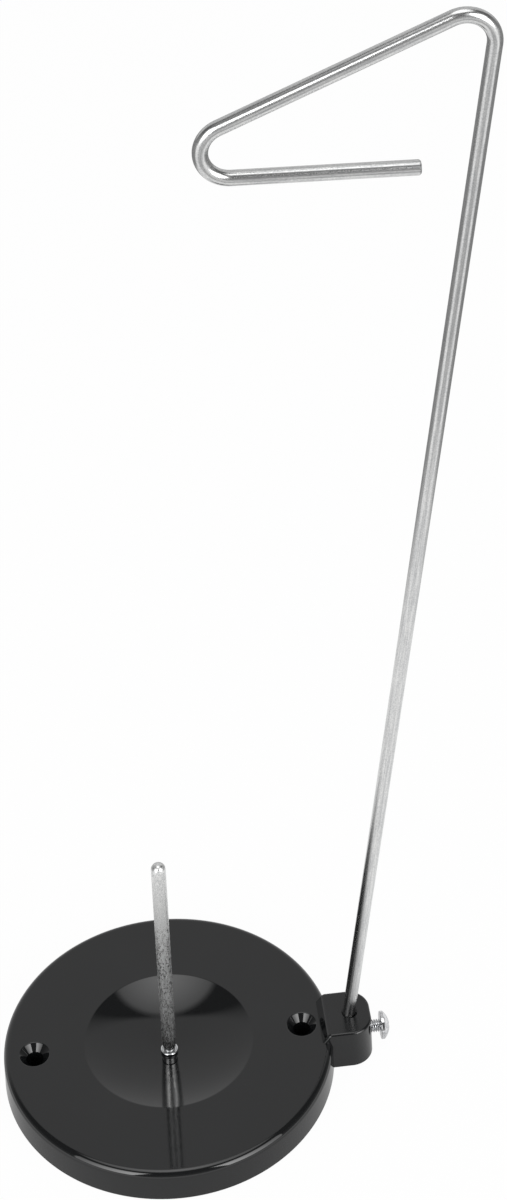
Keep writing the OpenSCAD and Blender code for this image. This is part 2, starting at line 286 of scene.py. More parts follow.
def turned(name, profile, steps):
    """Draws a profile beside the Z axis and spins it all the way round."""
    piece = draw(name, profile)
    bpy.ops.mesh.spin(steps=steps, angle=2 * math.pi, center=(0, 0, 0), axis=(0, 0, 1))
    close_up()
    bpy.ops.object.mode_set(mode="OBJECT")
    return piece


def block(name, low, high):
    """Adds a cube that fills the box between two corners."""
    bpy.ops.object.select_all(action="DESELECT")
    low, high = Vector(low), Vector(high)
    bpy.ops.mesh.primitive_cube_add(size=1, location=(low + high) / 2, scale=high - low)
    piece = bpy.context.object
    piece.name = piece.data.name = name
    bpy.ops.object.transform_apply(location=True, rotation=True, scale=True)
    return piece


def place(piece, location, lean=0.0, turn=0.0):
    """Leans a piece about Y, turns it about Z, moves it and puts its place into its mesh."""
    pick(piece)
    piece.location = location
    piece.rotation_euler = (0, lean, turn)
    bpy.ops.object.transform_apply(location=True, rotation=True, scale=True)
    return piece


def twin(piece, name):
    """Copies a piece with its own mesh."""
    copy = piece.copy()
    copy.data = piece.data.copy()
    copy.name = copy.data.name = name
    bpy.context.collection.objects.link(copy)
    return copy


def apply(piece, modifier):
    """Applies one modifier to a piece."""
    pick(piece)
    bpy.ops.object.modifier_apply(modifier=modifier.name)


def combine(piece, tool, operation):
    """Joins or cuts a piece with a tool shape, which is used up."""
    before = len(piece.data.polygons)
    step = piece.modifiers.new(tool.name, "BOOLEAN")
    step.operation = operation
    step.object = tool
    step.solver = "MANIFOLD"
    apply(piece, step)
    bpy.data.objects.remove(tool)
    if len(piece.data.polygons) in (0, before):
        raise RuntimeError(f"{piece.name} was not changed by a {operation.lower()} step")


def choose_edges(piece, test):
    """Selects the edges whose two ends pass a test, in edit mode."""
    bpy.ops.mesh.select_mode(type="EDGE")
    bpy.ops.mesh.select_all(action="DESELECT")
    shape = bmesh.from_edit_mesh(piece.data)
    for edge in shape.edges:
        edge.select_set(test(edge.verts[0].co, edge.verts[1].co))
    bmesh.update_edit_mesh(piece.data)


def smooth(piece, degrees=32.0):
    """Clears the slivers that cuts left, and shades a piece smooth across its soft edges.

    Its flat faces stay flat.
    """
    pick(piece)
    bpy.ops.object.mode_set(mode="EDIT")
    bpy.ops.mesh.select_mode(type="VERT")
    bpy.ops.mesh.select_all(action="SELECT")
    bpy.ops.mesh.remove_doubles(threshold=MERGE)
    bpy.ops.mesh.dissolve_degenerate(threshold=MERGE)
    bpy.ops.object.mode_set(mode="OBJECT")
    bpy.ops.object.shade_smooth_by_angle(angle=math.radians(degrees))
    step = piece.modifiers.new("flat faces", "WEIGHTED_NORMAL")
    step.keep_sharp = True
    step.weight = 80
    apply(piece, step)


def hand_over(piece, body, node, material):
    """Gives a finished piece its material and body, in place of its CAD node."""
    piece.data.materials.clear()
    piece.data.materials.append(material)
    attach(piece, body)
    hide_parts(node)


def dressed(name):
    """A new material's tree, with its shader and its Object coordinates."""
    material = bpy.data.materials.new(name)
    material.use_nodes = True
    tree = material.node_tree
    shader = tree.nodes["Principled BSDF"]
    place_of = tree.nodes.new("ShaderNodeTexCoord").outputs["Object"]
    return material, tree, shader, place_of


def plastic_finish():
    """Black ABS from a polished mould: deep black, a clear gloss and a faint waviness of its flow."""
    f = settings().finishes
    material, tree, shader, place_of = dressed("moulded gloss black ABS")
    polished, handled, unpolished = 0.035, 0.085, 0.16
    # The flow of the moulding shows as slow waves
    wave = 14 * MM
    wave_depth = 0.05 * MM
    flow = add(tree, "ShaderNodeTexNoise", [("Vector", place_of), ("Scale", 1 / wave), ("Detail", 2.0)])
    # Handling leaves small dulled spots
    spot, spots_shown = 1.2 * MM, (0.3, 0.75)
    haze = add(tree, "ShaderNodeTexNoise", [("Vector", place_of), ("Scale", 1 / spot), ("Detail", 4.0)])
    tone = add(tree, "ShaderNodeMix", [
        ("Factor", flow), ("A", linear(f.plastic)), ("B", linear(f.plastic_flow))], data_type="RGBA")
    gloss = add(tree, "ShaderNodeMapRange", enumerate((haze, *spots_shown, polished, handled)))
    # The lug's top comes from a part of the mould that isn't polished
    edge, flat = 13.2 * MM, 14.0 * MM
    part = add(tree, "ShaderNodeSeparateXYZ", [(0, place_of)]).outputs
    dull = add(tree, "ShaderNodeMapRange", enumerate((part["Z"], edge, flat, 0.0, unpolished)), **EASED)
    rough = add(tree, "ShaderNodeMath", [(0, gloss), (1, dull)])
    relief = add(tree, "ShaderNodeBump", [("Strength", 0.12), ("Distance", wave_depth), ("Height", flow)])
    feed(tree, shader, [("IOR", 1.53), ("Base Color", tone), ("Roughness", rough), ("Normal", relief)])
    return material


def metal_finish(name, clear, dull, rough, along, across, grain, bump, span=(0.38, 0.62), drawn=None,
                 settle=None):
    """Plated steel: two tones and two roughnesses in lines of a length and a width, over a fine grain.

    span is the part of the pattern that shows, drawn an attribute that the lines follow, and settle the
    two heights and shares between which the roughness rises.
    """
    material, tree, shader, place_of = dressed(name)
    line_depth = 0.02 * MM
    way = place_of
    if drawn:
        way = add(tree, "ShaderNodeAttribute", attribute_name=drawn).outputs["Vector"]
    stretched = add(tree, "ShaderNodeMapping", [
        ("Vector", way), ("Scale", (1 / across, 1 / across, 1 / along))])
    lines = add(tree, "ShaderNodeTexNoise", [("Vector", stretched), ("Scale", 1.0), ("Detail", 4.0)])
    specks = add(tree, "ShaderNodeTexNoise", [("Vector", place_of), ("Scale", 1 / grain), ("Detail", 2.0)])
    both = add(tree, "ShaderNodeMix", [("Factor", 0.45), ("A", lines), ("B", specks)])
    mixed = add(tree, "ShaderNodeMapRange", [
        ("Value", both), ("From Min", span[0]), ("From Max", span[1])])
    tone = add(tree, "ShaderNodeMix", [
        ("Factor", mixed), ("A", linear(dull)), ("B", linear(clear))], data_type="RGBA")
    sheen = add(tree, "ShaderNodeMapRange", [
        ("Value", mixed), ("To Min", rough[1]), ("To Max", rough[0])])
    relief = add(tree, "ShaderNodeBump", [("Strength", bump), ("Distance", line_depth), ("Height", lines)])
    if settle:
        part = add(tree, "ShaderNodeSeparateXYZ", [(0, place_of)]).outputs
        share = add(tree, "ShaderNodeMapRange", enumerate((part["Z"], *settle)), **EASED)
        sheen = add(tree, "ShaderNodeMath", [(0, sheen), (1, share)], operation="MULTIPLY")
    feed(tree, shader, [("Metallic", 1.0), ("Base Color", tone), ("Roughness", sheen), ("Normal", relief)])
    return material


def wire_finish():
    """Drawn steel wire with a thin nickel plate: bright, with fine lines along the wire from the die."""
    f = settings().finishes
    return metal_finish(
        "drawn steel wire with nickel plate", f.wire, f.wire_line, rough=(0.21, 0.25),
        along=9 * MM, across=0.35 * MM, grain=0.4 * MM, bump=0.01, drawn="drawn")


def pin_finish():
    """Turned steel rod, tumbled before its plate: a speckled satin sheen, smoother at the pin's foot."""
    f = settings().finishes
    return metal_finish(
        "satin plated turned steel", f.pin, f.pin_grain, rough=(0.26, 0.52),
        along=1.2 * MM, across=0.4 * MM, grain=0.4 * MM, bump=0.25, span=(0.44, 0.56),
        settle=(7 * MM, 16 * MM, 0.6, 1.0))


def bright_finish():
    """Bright nickel plate on small turned parts: nearly a mirror, dulled a little where it is handled."""
    f = settings().finishes
    return metal_finish(
        "bright nickel plate", f.bright, f.bright_dull, rough=(0.04, 0.1),
        along=0.8 * MM, across=0.8 * MM, grain=0.4 * MM, bump=0.1)


def zinc_finish():
    """Zinc plate on stock nuts and washers: a cool pale grey with soft spangles."""
    f = settings().finishes
    return metal_finish(
        "zinc plated steel", f.zinc, f.zinc_dark, rough=(0.28, 0.42),
        along=1.0 * MM, across=1.0 * MM, grain=0.3 * MM, bump=0.15)


def thread(name, outer_r, pitch, low, high):
    """A threaded rod about Z between two heights, with flat ends."""
    root = outer_r - THREAD_DEPTH * pitch
    ease = 0.03 * pitch
    # Heights in pitches of the root's end, the crest's eased start and end, and the next root
    rise, crest_start, crest_end, fall = 0.22, 0.56, 0.64, 0.98
    flanks = [(root, 0), (root, rise * pitch),
              (outer_r - ease, crest_start * pitch - ease), (outer_r, crest_start * pitch),
              (outer_r, crest_end * pitch), (outer_r - ease, crest_end * pitch + ease),
              (root, fall * pitch), (root, pitch)]
    piece = draw(name, [(r, low - 2 * pitch + z) for r, z in flanks])
    bpy.ops.object.mode_set(mode="OBJECT")
    step = piece.modifiers.new("turns", "SCREW")
    step.screw_offset = pitch
    step.iterations = math.ceil((high - low) / pitch) + 3
    step.steps = step.render_steps = 36
    step.use_merge_vertices = True
    step.merge_threshold = MERGE
    apply(piece, step)
    bpy.ops.object.mode_set(mode="EDIT")
    close_up()
    for height, inner in ((low, True), (high, False)):
        bpy.ops.mesh.select_all(action="SELECT")
        bpy.ops.mesh.bisect(
            plane_co=(0, 0, height), plane_no=(0, 0, 1), use_fill=True,
            clear_inner=inner, clear_outer=not inner, threshold=1e-8)
    close_up()
    bpy.ops.object.mode_set(mode="OBJECT")
    return piece


def dish_ball(b):
    """Radius of the ball that the dish is cut from, and the height of its centre."""
    dish_r = ((b.dish_d / 2) ** 2 + b.dish_depth ** 2) / (2 * b.dish_depth)
    return dish_r, b.height - b.dish_depth + dish_r


def bowl_turn(radius, out):
    """Angle on a bowl's arc, in degrees, at a distance out from its axis."""
    return -90 + math.degrees(math.asin(out / radius))


def base_section(b):
    """Half section of the base: pin hole, dish, top, rounded edge, wall, foot and the hollow underneath."""
    dish_r, centre = dish_ball(b)
    floor = b.height - b.dish_depth
    recess_r = FERRULE_BOX[1].x + SNUG
    lip_z = b.height - b.dish_lip
    lip_x = math.sqrt((dish_r + b.dish_lip) ** 2 - (centre - lip_z) ** 2)
    lip_turn = math.degrees(math.atan2(centre - lip_z, -lip_x))
    rim = bowl_turn(dish_r + b.dish_lip, lip_x)
    start = bowl_turn(dish_r, recess_r)
    edge = (b.top_r - b.edge_r, b.height - b.edge_r)
    lean = math.tan(b.draft)
    wall_top = edge[0] + b.edge_r * math.cos(b.draft)
    foot_r = wall_top + (edge[1] + b.edge_r * math.sin(b.draft)) * lean
    ceiling = b.height - b.wall
    bowl_r = dish_r + b.wall
    bowl_rim = bowl_turn(bowl_r, math.sqrt(bowl_r ** 2 - (centre - ceiling) ** 2))
    boss_r = WASHER_BOX[1].x + b.boss_rim
    bowl_foot = bowl_turn(bowl_r, boss_r)
    seat = WASHER_BOX[1].z
    e = b.foot_round
    inner_r = foot_r - b.wall
    return (
        [(b.pin_hole_r, seat), (b.pin_hole_r, floor), (recess_r, floor)]
        + arc((0, centre), dish_r, start, rim, 44)
        + arc((lip_x, lip_z), b.dish_lip, lip_turn, 90, 7)[1:]
        + arc(edge, b.edge_r, 90, math.degrees(b.draft), 14)
        + arc((foot_r - e, e), e, 0, -90, 4)
        + arc((inner_r + e, e), e, -90, -180, 4)
        + [(inner_r - ceiling * lean, ceiling)]
        + arc((0, centre), bowl_r, bowl_rim, bowl_foot, 20)
        + [(boss_r, seat), (b.pin_hole_r, seat)]
    )


def rib_ring(b):
    """The ribs underneath: one is drawn up to the bowl, thickened and copied round."""
    dish_r, centre = dish_ball(b)
    mid_r = dish_r + b.wall / 2
    top = b.height - b.wall / 2
    root = WASHER_BOX[1].x + b.boss_rim / 2
    end = b.top_r - b.wall / 2
    start = bowl_turn(mid_r, root)
    rim = bowl_turn(mid_r, math.sqrt(mid_r ** 2 - (centre - top) ** 2))
    line = [(root, b.rib_lift), (end, b.rib_lift), (end, top)]
    rib = draw("rib", line + arc((0, centre), mid_r, rim, start, 16))
    bpy.ops.mesh.edge_face_add()
    bpy.ops.mesh.extrude_region_move(TRANSFORM_OT_translate={"value": (0, b.rib, 0)})
    close_up()
    bpy.ops.transform.translate(value=(0, -b.rib / 2, 0))
    bpy.ops.object.mode_set(mode="OBJECT")
    step = math.pi / (b.rib_count + 1)
    turns = [side + i * step for side in (0, math.pi) for i in range(1, b.rib_count + 1)]
    copies = [place(twin(rib, "rib copy"), (0, 0, 0), turn=t) for t in turns]
    bpy.data.objects.remove(rib)
    pick(copies[0])
    for copy in copies:
        copy.select_set(True)
    bpy.ops.object.join()
    return copies[0]


def lug_block(g):
    """The lug: a block with its four corners and its top edge rounded, flared by its draft at the foot."""
    half = g.width / 2
    top = BASE_BOX[1].z
    flare = (top - g.edge_r) * math.tan(g.draft)
    piece = block("lug", (g.inner_x, -half, 0), (g.outer_x, half, top))
    bpy.ops.object.mode_set(mode="EDIT")
    # The inner wall slopes back where it stands above the base
    bpy.ops.mesh.select_all(action="SELECT")
    bpy.ops.mesh.bisect(plane_co=(0, 0, settings().base.height), plane_no=(0, 0, 1))
    choose_edges(piece, lambda a, c: min(a.z, c.z) > top - NEAR and max(a.x, c.x) < g.inner_x + NEAR)
    bpy.ops.transform.translate(value=(g.slope, 0, 0))
    choose_edges(piece, lambda a, c: abs(a.z - c.z) > NEAR and min(a.x, c.x) > g.outer_x - NEAR)
    bpy.ops.mesh.bevel(offset=g.corner_r, segments=20, affect="EDGES")
    heel_x = g.inner_x + g.slope
    choose_edges(piece, lambda a, c: abs(a.z - c.z) > NEAR and max(a.x, c.x) < heel_x + NEAR)
    bpy.ops.mesh.bevel(offset=g.heel_r, segments=10, affect="EDGES")
    choose_edges(piece, lambda a, c: min(a.z, c.z) > top - NEAR)
    bpy.ops.mesh.bevel(offset=g.edge_r, segments=6, affect="EDGES")
    choose_edges(piece, lambda a, c: max(a.z, c.z) < NEAR)
    bpy.ops.transform.resize(
        value=(1 + 2 * flare / (g.outer_x - g.inner_x), 1 + flare / half, 1),
        center_override=((g.inner_x + g.outer_x) / 2, 0, 0))
    close_up()
    bpy.ops.object.mode_set(mode="OBJECT")
    return piece


def flared(hole_r, low, mouth_z, mouth_r, lip, slope):
    """Profile of a cutter for a hole whose mouth flares at a slope, with a rounded lip on a flat face."""
    run = lip * math.tan(math.radians(slope / 2))
    centre = (mouth_r + run, mouth_z - lip)
    # The lip's arc stops a degree short of the flat face, and the cutter then leaves that face
    lip_arc = arc(centre, lip, 90 + slope, 91, 6)
    past = lip / 20
    rise = (mouth_r - hole_r) * math.tan(math.radians(slope))
    return (
        [(0, low), (hole_r, low), (hole_r, mouth_z - rise)]
        + lip_arc
        + [(centre[0] + past, mouth_z + past), (centre[0] + past, mouth_z + OVER), (0, mouth_z + OVER)]
    )


class THREADSTAND_OT_base(bpy.types.Operator):
    """Moulds the base with its dish, screw holes, ribs and lug"""
    bl_idname = "thread_stand.base"
    bl_label = "Mould base"

    def execute(self, context):
        b = settings().base
        g = settings().lug
        s = settings().screw
        piece = turned("base_moulding", base_section(b), steps=192)
        combine(piece, rib_ring(b), "UNION")
        tube_r = b.sink_r + b.tube
        ceiling = b.height - b.wall / 2
        tube = turned("screw tube", [(0, 0), (tube_r, 0), (tube_r, ceiling), (0, ceiling)], steps=64)
        hole_line = flared(b.hole_r, -OVER, b.height, b.sink_r, b.sink_lip, slope=45)
        hole = turned("screw hole", hole_line, steps=96)
        places = [(side * b.hole_pitch / 2, 0, 0) for side in (-1, 1)]
        for at in places:
            combine(piece, place(twin(tube, "screw tube copy"), at), "UNION")
        combine(piece, lug_block(g), "UNION")
        for at in places:
            combine(piece, place(twin(hole, "screw hole copy"), at), "DIFFERENCE")
        bpy.data.objects.remove(tube)
        bpy.data.objects.remove(hole)
        mouth_r = g.socket_r + g.mouth
        socket = turned("socket", [
            (0, -g.socket_depth), (g.socket_r, -g.socket_depth), (g.socket_r, -g.mouth),
            (mouth_r + OVER, OVER), (0, OVER)], steps=64)
        combine(piece, place(socket, SOCKET, lean=math.atan2(WIRE_AXIS.x, WIRE_AXIS.z)), "DIFFERENCE")
        reach = CLAMP.x - SOCKET.x
        clamp = turned("clamp hole", [
            (0, -reach), (g.clamp_r, -reach), (g.clamp_r, -2 * s.chamfer),
            (g.clamp_r + OVER, OVER), (0, OVER)], steps=48)
        combine(piece, place(clamp, CLAMP, lean=math.pi / 2), "DIFFERENCE")
        gap = Vector((g.nut_gap, g.nut_gap, g.nut_gap))
        slot_low = CLAMP_NUT_BOX[0] - gap
        slot_low.z = -OVER
        combine(piece, block("nut slot", slot_low, CLAMP_NUT_BOX[1] + gap), "DIFFERENCE")
        smooth(piece)
        hand_over(piece, "stand", "base", plastic_finish())
        return {"FINISHED"}


class THREADSTAND_OT_guide(bpy.types.Operator):
    """Bends the wire guide from its foot in the lug to the end of its return leg"""
    bl_idname = "thread_stand.guide"
    bl_label = "Bend wire guide"

    def execute(self, context):
        g = settings().guide
        lean = math.atan2(WIRE_AXIS.x, WIRE_AXIS.z)
        top = GUIDE_BOX[1].z - g.wire_r - g.bend_r
        stem = (top - g.bend_r * math.sin(lean) - SOCKET.z) / math.cos(lean)
        place_at = SOCKET - WIRE_AXIS * g.foot
        cut_r = g.wire_r - g.chamfer
        bpy.ops.object.select_all(action="DESELECT")
        bpy.ops.mesh.primitive_circle_add(
            vertices=48, radius=cut_r, fill_type="NGON", enter_editmode=True)
        piece = bpy.context.object
        piece.name = piece.data.name = "guide_wire"
        bpy.ops.object.mode_set(mode="OBJECT")
        place(piece, place_at, lean=lean)
        bpy.ops.object.mode_set(mode="EDIT")
        bpy.ops.mesh.select_mode(type="VERT")
        bpy.ops.mesh.select_all(action="SELECT")
        bpy.ops.mesh.delete(type="ONLY_FACE")
        bpy.ops.mesh.select_all(action="SELECT")
        sections = []
        here = {"at": place_at, "turn": lean, "run": 0.0}

        def heading():
            """Way that the wire runs"""
            return Vector((math.sin(here["turn"]), 0, math.cos(here["turn"])))

        def side():
            """Way across the wire, out of its bends"""
            return Vector((math.cos(here["turn"]), 0, -math.sin(here["turn"])))

        def straight(run):
            """Draws the wire on along its heading"""
            sections.append(("straight", here["at"].copy(), heading(), side(), here["run"], run))
            bpy.ops.mesh.extrude_edges_move(TRANSFORM_OT_translate={"value": heading() * run})
            here["at"] = here["at"] + heading() * run
            here["run"] += run

        def swell(ratio):
            """Widens or narrows the wire's open end"""
            bpy.ops.transform.resize(value=(ratio, ratio, ratio), center_override=here["at"])

        def bend(turn, steps):
            """Spins the wire's open end round a bend towards the pin"""
            centre = here["at"] - side() * g.bend_r
            sections.append(("bend", centre, here["turn"], None, here["run"], turn))
            bpy.ops.mesh.spin(steps=steps, angle=turn, center=centre, axis=(0, 1, 0))
            here["turn"] -= turn
            here["at"] = centre + side() * g.bend_r
            here["run"] += turn * g.bend_r

        straight(g.chamfer)
        swell(g.wire_r / cut_r)
        straight(stem + g.foot - g.chamfer)
        bend(math.pi / 2 + lean + g.arm_slope, 40)
        straight(g.arm)
        bend(math.pi - g.arm_slope - g.leg_slope, 52)
        straight(g.leg - g.chamfer)
        straight(g.chamfer)
        swell(cut_r / g.wire_r)
        found = bmesh.from_edit_mesh(piece.data)
        ring = [v.co.copy() for v in found.verts if v.select]
        middle = sum(ring, Vector()) / len(ring)
        if (middle - here["at"]).length > 5 * NEAR:
            raise RuntimeError("the wire's end is not where its bends should bring it")
        bpy.ops.mesh.edge_face_add()
        choose_edges(piece, lambda a, c: max((a - place_at).length, (c - place_at).length) < cut_r + NEAR)
        bpy.ops.mesh.edge_face_add()
        close_up()
        bpy.ops.object.mode_set(mode="OBJECT")
        drawn = piece.data.attributes.new("drawn", "FLOAT_VECTOR", "POINT")
        for vert, item in zip(piece.data.vertices, drawn.data):
            item.vector = self.straightened(vert.co, sections, g)
        smooth(piece)
        hand_over(piece, "guide", "guide_rod", wire_finish())
        return {"FINISHED"}

    def straightened(self, co, sections, g):
        """Place of a point on the wire before it was bent: across, across and along."""
        slack = 2 * NEAR
        turn_slack = 1e-4
        for kind, at, heading, side, run, size in sections:
            if kind == "straight":
                along = (co - at).dot(heading)
                off = co - at - heading * along
                if -slack <= along <= size + slack and off.length <= g.wire_r + slack:
                    return (off.dot(side), co.y, run + along)
            else:
                off = co - at
                turn = (heading - math.atan2(-off.z, off.x)) % (2 * math.pi)
                across = math.hypot(off.x, off.z) - g.bend_r
                if turn <= size + turn_slack and abs(across) <= g.wire_r + slack:
                    return (across, co.y, run + turn * g.bend_r)
        raise RuntimeError("a point of the wire is on none of its lengths")


class THREADSTAND_OT_pin(bpy.types.Operator):
    """Turns the spool pin with its domed tip, shoulder, neck and threaded tail"""
    bl_idname = "thread_stand.pin"
    bl_label = "Turn spool pin"

    def execute(self, context):
        p = settings().pin
        tip = PIN_BOX[1].z
        wall = MOUNTS["spool_pin"]["length_mm"] * MM
        shoulder = tip - p.pin_r - wall
        flange = FERRULE_BOX[1].z - p.lip
        e = p.shoulder_round
        core = p.tail_r - THREAD_DEPTH * p.tail_pitch
        low = PIN_BOX[0].z
        piece = turned("spool_pin_turned", [
            (0, flange), (p.neck_foot_r, flange), (p.neck_r, shoulder)]
            + arc((p.pin_r - e, shoulder + e), e, -90, 0, 5)
            + arc((0, tip - p.pin_r), p.pin_r, 0, 90, 18), steps=64)
        tail = thread("tail", p.tail_r, p.tail_pitch, low, flange + e)
        # The tail's end is chamfered at 45 degrees down to the thread's core
        end = turned("tail end", [
            (0, low - OVER), (core - OVER, low - OVER), (p.tail_r + OVER, low + OVER + p.tail_r - core),
            (p.tail_r + OVER, flange + OVER), (0, flange + OVER)], steps=48)
        combine(tail, end, "INTERSECT")
        combine(piece, tail, "UNION")
        smooth(piece)
        hand_over(piece, "stand", "spool_pin", pin_finish())
        return {"FINISHED"}


class THREADSTAND_OT_ferrule(bpy.types.Operator):
    """Turns the ferrule with its rolled lip round the pin's neck"""
    bl_idname = "thread_stand.ferrule"
    bl_label = "Roll ferrule"

    def execute(self, context):
        p = settings().pin
        low, high = FERRULE_BOX
        bore = p.tail_r + SNUG
        flange = high.z - p.lip
        r = p.lip / 2
        floor = settings().base.height - settings().base.dish_depth
        piece = turned("pin_ferrule_rolled", [
            (bore, low.z), (p.sleeve_r, low.z), (p.sleeve_r, floor), (high.x, floor)]
            + arc((high.x - r, high.z - r), r, 0, 180, 16)
            + [(high.x - p.lip, flange), (bore, flange), (bore, low.z)], steps=64)
        smooth(piece)
        hand_over(piece, "stand", "pin_ferrule", bright_finish())
        return {"FINISHED"}


class THREADSTAND_OT_screw(bpy.types.Operator):
    """Cuts the clamp screw with its domed head, crossed slots and thread"""
    bl_idname = "thread_stand.screw"
    bl_label = "Cut clamp screw"

    def execute(self, context):
        s = settings().screw
        low, high = SCREW_BOX
        top = high.x - low.x
        seat = top - s.head
        dome = s.head - s.head_edge
        dome_r = (s.head_r ** 2 + dome ** 2) / (2 * dome)
        rim = math.degrees(math.asin(s.head_r / dome_r))
        e = s.chamfer
        profile = (
            [(0, seat), (s.head_r - e, seat)]
            + arc((s.head_r - e, seat + e), e, -90, 0, 5)[1:]
            + arc((0, top - dome_r), dome_r, 90 - rim, 90, 20)
        )
        piece = turned("clamp_screw_cut", profile, steps=96)
        shank = thread("shank", s.thread_r, s.pitch, s.tip, seat + e)
        combine(piece, shank, "UNION")
        tip = turned("tip", [
            (0, 0), (s.tip_r - e, 0), (s.tip_r, e), (s.tip_r, s.tip + e), (0, s.tip + e)], steps=48)
        combine(piece, tip, "UNION")
        half = s.drive / 2
        side = s.drive_w / 2
        floor = top - s.drive_depth
        slot = block("drive slot", (-half, -side, floor), (half, side, top + OVER))
        bpy.ops.object.mode_set(mode="EDIT")
        choose_edges(slot, lambda a, c: max(a.z, c.z) < floor + NEAR)
        # The slot tapers towards its floor
        floor_length, floor_width = 0.62, 0.8
        bpy.ops.transform.resize(value=(floor_length, floor_width, 1), center_override=(0, 0, floor))
        bpy.ops.object.mode_set(mode="OBJECT")
        # One slot is a trace deeper, so that the two floors don't lie in one plane
        for turn, deeper in ((45, 0.0), (135, 0.03 * MM)):
            copy = place(twin(slot, "drive slot copy"), (0, 0, -deeper), turn=math.radians(turn))
            combine(piece, copy, "DIFFERENCE")
        bpy.data.objects.remove(slot)
        place(piece, (low.x, CLAMP.y, CLAMP.z), lean=math.pi / 2)
        smooth(piece)
        hand_over(piece, "screw", "clamp_screw", bright_finish())
        return {"FINISHED"}


class THREADSTAND_OT_fasteners(bpy.types.Operator):
    """Makes the washer and the two nuts that sit under the base"""
    bl_idname = "thread_stand.fasteners"
    bl_label = "Make nuts and washer"

    def execute(self, context):
        s = settings().screw
        p = settings().pin
        zinc = zinc_finish()
        e = s.chamfer
        low, high = WASHER_BOX
        bore = p.tail_r + WASHER_PLAY
        # A stamped washer is rounded on the face that the punch met first
        washer = turned("pin_washer_stamped", [
            (bore, low.z), (high.x - e / 2, low.z), (high.x, low.z + e / 2)]
            + arc((high.x - e, high.z - e), e, 0, 90, 4)
            + [(bore + e / 2, high.z), (bore, high.z - e / 2), (bore, low.z)], steps=64)
        smooth(washer)
        hand_over(washer, "stand", "pin_washer", zinc)
        low, high = PIN_NUT_BOX
        corner = max(high.x, high.y)
        flat = corner * math.cos(math.pi / 6)
        bore = p.tail_r + THREAD_PLAY
        bpy.ops.object.select_all(action="DESELECT")
        bpy.ops.mesh.primitive_cylinder_add(
            vertices=6, radius=corner, depth=high.z - low.z, location=(0, 0, (low.z + high.z) / 2))
        nut = bpy.context.object
        nut.name = nut.data.name = "pin_nut_hexagon"
        place(nut, nut.location, turn=math.pi / 6)
        drop = (corner - flat) * math.tan(math.radians(30))
        ease = turned("corner ease", [
            (bore + e, low.z), (flat, low.z), (corner + MERGE, low.z + drop),
            (corner + MERGE, high.z - drop), (flat, high.z), (bore + e, high.z), (bore, high.z - e),
            (bore, low.z + e), (bore + e, low.z)], steps=96)
        combine(nut, ease, "INTERSECT")
        smooth(nut, degrees=12.0)
        hand_over(nut, "stand", "pin_nut", zinc)
        low, high = CLAMP_NUT_BOX
        square = block("clamp_nut_square", low, high)
        bpy.ops.object.mode_set(mode="EDIT")
        choose_edges(square, lambda a, c: True)
        bpy.ops.mesh.bevel(offset=e, segments=3, affect="EDGES")
        bpy.ops.object.mode_set(mode="OBJECT")
        bore = s.thread_r + THREAD_PLAY
        mouth = bore + e + OVER
        thick = high.x - low.x
        hole = turned("nut hole", [
            (0, -OVER), (mouth, -OVER), (bore, e), (bore, thick - e), (mouth, thick + OVER),
            (0, thick + OVER)], steps=48)
        combine(square, place(hole, (low.x, CLAMP.y, CLAMP.z), lean=math.pi / 2), "DIFFERENCE")
        smooth(square)
        hand_over(square, "stand", "clamp_nut", zinc)
        return {"FINISHED"}


